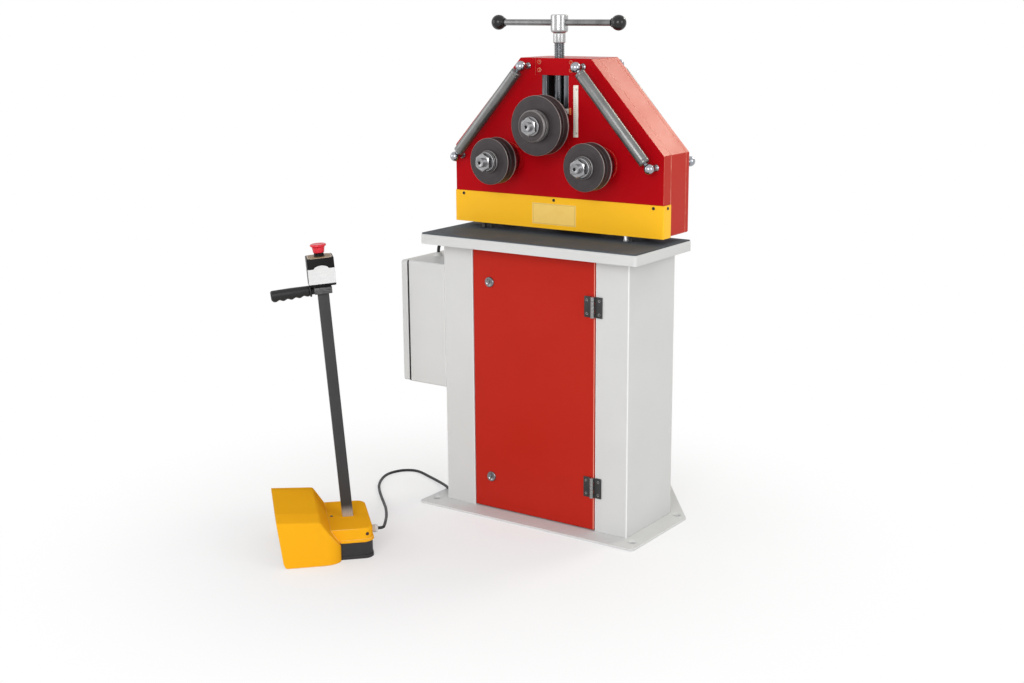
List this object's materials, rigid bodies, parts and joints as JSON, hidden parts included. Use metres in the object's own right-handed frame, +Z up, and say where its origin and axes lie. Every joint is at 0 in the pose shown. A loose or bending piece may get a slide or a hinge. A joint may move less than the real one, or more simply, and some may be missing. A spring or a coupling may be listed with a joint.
{
  "type": "section bending ring roller",
  "caption": "Three-roll ring and section bending machine on a cabinet stand, with screw-fed upper roll, geared lower rolls, electrical box and corded foot control with stop button pole.",
  "frame": {"origin": "on the floor under the middle of the base plate's straight-sided part, on the base plate's underside", "axes": "+Z up, the roll side faces -Y, +X to the right of someone who faces the rolls"},
  "size_m": [0.9346, 1.1309, 1.3549],
  "materials": {
    "pale_paint": "light grey powder coat, fine texture",
    "mat_rubber": "dark grey rubber",
    "door_red": "red powder coat",
    "head_red": "deep red gloss enamel",
    "cover_red": "red gloss enamel on sheet",
    "guard_yellow": "yellow powder coat",
    "pedal_yellow": "yellow enamel on a casting",
    "roll_steel": "browned turned steel",
    "bright_steel": "bright machined steel",
    "dark_steel": "dark machined steel",
    "tube_grey": "satin grey tube",
    "pole_steel": "dark grey powder coat on square tube",
    "black_plastic": "black moulded plastic",
    "pale_plastic": "light grey moulded plastic",
    "button_red": "red moulded plastic",
    "drive_grey": "grey painted casting",
    "cord_black": "black cable sheath",
    "pointer_white": "white paint"
  },
  "bodies": {
    "machine": {"base_plate": "pale_paint", "cabinet_shell": "pale_paint", "table_top": "pale_paint", "rubber_mat": "mat_rubber", "upper_hinge_leaf": "dark_steel", "lower_hinge_leaf": "dark_steel", "electrical_box": "pale_paint", "box_gasket": "mat_rubber", "contactor_plate": "dark_steel", "box_cable": "cord_black", "front_plate": "head_red", "rear_plate": "head_red", "head_cover": "cover_red", "top_bridge": "head_red", "guide_bar_left": "dark_steel", "guide_bar_right": "dark_steel", "lower_guard": "guard_yellow", "strut_front_left": "tube_grey", "strut_front_right": "tube_grey", "strut_rear_left": "tube_grey", "strut_rear_right": "tube_grey", "gearbox": "drive_grey", "motor": "drive_grey", "pedal_base": "black_plastic", "pedal_hood": "pedal_yellow", "pole": "pole_steel", "grip": "black_plastic", "pendant_base": "black_plastic", "pendant_cover": "pale_plastic", "cord_gland": "pale_plastic", "stand_gland": "black_plastic", "pedal_cord": "cord_black"},
    "door": {"cabinet_door": "door_red"},
    "lock_lower": {"door_lock_lower": "bright_steel"},
    "lock_upper": {"door_lock_upper": "bright_steel"},
    "box_door": {"electrical_box_door": "pale_paint"},
    "carriage": {"carriage_block": "dark_steel", "height_pointer": "pointer_white"},
    "screw": {"lead_screw": "bright_steel", "handle_bar": "dark_steel", "knob_left": "black_plastic", "knob_right": "black_plastic"},
    "upper_roll": {"upper_roll_shaft": "bright_steel", "upper_roll_front_disc": "roll_steel", "upper_roll_rear_disc": "roll_steel", "upper_roll_nut": "bright_steel"},
    "left_roll": {"left_roll_shaft": "bright_steel", "left_roll_front_disc": "roll_steel", "left_roll_rear_disc": "roll_steel", "left_roll_nut": "bright_steel", "left_roll_gear": "dark_steel"},
    "right_roll": {"right_roll_shaft": "bright_steel", "right_roll_front_disc": "roll_steel", "right_roll_rear_disc": "roll_steel", "right_roll_nut": "bright_steel", "right_roll_gear": "dark_steel"},
    "drive": {"drive_pinion": "dark_steel"},
    "left_treadle": {"treadle_left": "dark_steel"},
    "right_treadle": {"treadle_right": "dark_steel"},
    "stop_button": {"estop_button": "button_red"}
  },
  "joints": [
    {"name": "door_hinge", "type": "hinge", "parent": "machine", "child": "door", "pos_m": [0.19, -0.0888, 0.377], "axis": [0, 0, 1], "range_deg": [0, 170]},
    {"name": "upper_lock_turn", "type": "hinge", "parent": "door", "child": "lock_upper", "pos_m": [-0.14, -0.083, 0.65], "axis": [0, 1, 0], "range_deg": [0, 90]},
    {"name": "lower_lock_turn", "type": "hinge", "parent": "door", "child": "lock_lower", "pos_m": [-0.14, -0.083, 0.099], "axis": [0, 1, 0], "range_deg": [0, 90]},
    {"name": "box_door_hinge", "type": "hinge", "parent": "machine", "child": "box_door", "pos_m": [-0.4218, 0.172, 0.509], "axis": [0, 0, -1], "range_deg": [0, 120]},
    {"name": "carriage_slide", "type": "slide", "parent": "machine", "child": "carriage", "axis": [0, 0, 1], "range_m": [-0.035, 0.06]},
    {"name": "screw_turn", "type": "hinge", "parent": "carriage", "child": "screw", "pos_m": [0, 0.0475, 1.2], "axis": [0, 0, 1], "range_deg": [-2520, 4320]},
    {"name": "upper_roll_spin", "type": "hinge", "parent": "carriage", "child": "upper_roll", "pos_m": [0, -0.045, 1.0735], "axis": [0, 1, 0], "continuous": true},
    {"name": "left_roll_spin", "type": "hinge", "parent": "machine", "child": "left_roll", "pos_m": [-0.1485, 0, 0.9734], "axis": [0, 1, 0], "continuous": true},
    {"name": "right_roll_spin", "type": "hinge", "parent": "machine", "child": "right_roll", "pos_m": [0.1485, 0, 0.9734], "axis": [0, 1, 0], "continuous": true},
    {"name": "drive_pinion_spin", "type": "hinge", "parent": "machine", "child": "drive", "pos_m": [0, 0.115, 0.9734], "axis": [0, 1, 0], "continuous": true},
    {"name": "left_treadle_press", "type": "hinge", "parent": "machine", "child": "left_treadle", "pos_m": [-0.40031, -0.5136, 0.024], "axis": [0.723, -0.6909, 0], "range_deg": [0, 8], "stiffness_Nm_per_rad": 5, "springref_deg": -6.88},
    {"name": "right_treadle_press", "type": "hinge", "parent": "machine", "child": "right_treadle", "pos_m": [-0.30199, -0.60756, 0.024], "axis": [0.723, -0.6909, 0], "range_deg": [0, 8], "stiffness_Nm_per_rad": 5, "springref_deg": -6.88},
    {"name": "stop_button_push", "type": "slide", "parent": "machine", "child": "stop_button", "axis": [0.049, 0.0513, -0.9975], "range_m": [0, 0.004], "stiffness_N_per_m": 400, "springref_m": -0.003}
  ],
  "couplings": [
    {"joint": "carriage_slide", "follows": "screw_turn", "m_per_rad": 0.00079577},
    {"joint": "right_roll_spin", "follows": "left_roll_spin", "ratio": 1},
    {"joint": "drive_pinion_spin", "follows": "left_roll_spin", "ratio": -1.5385}
  ]
}
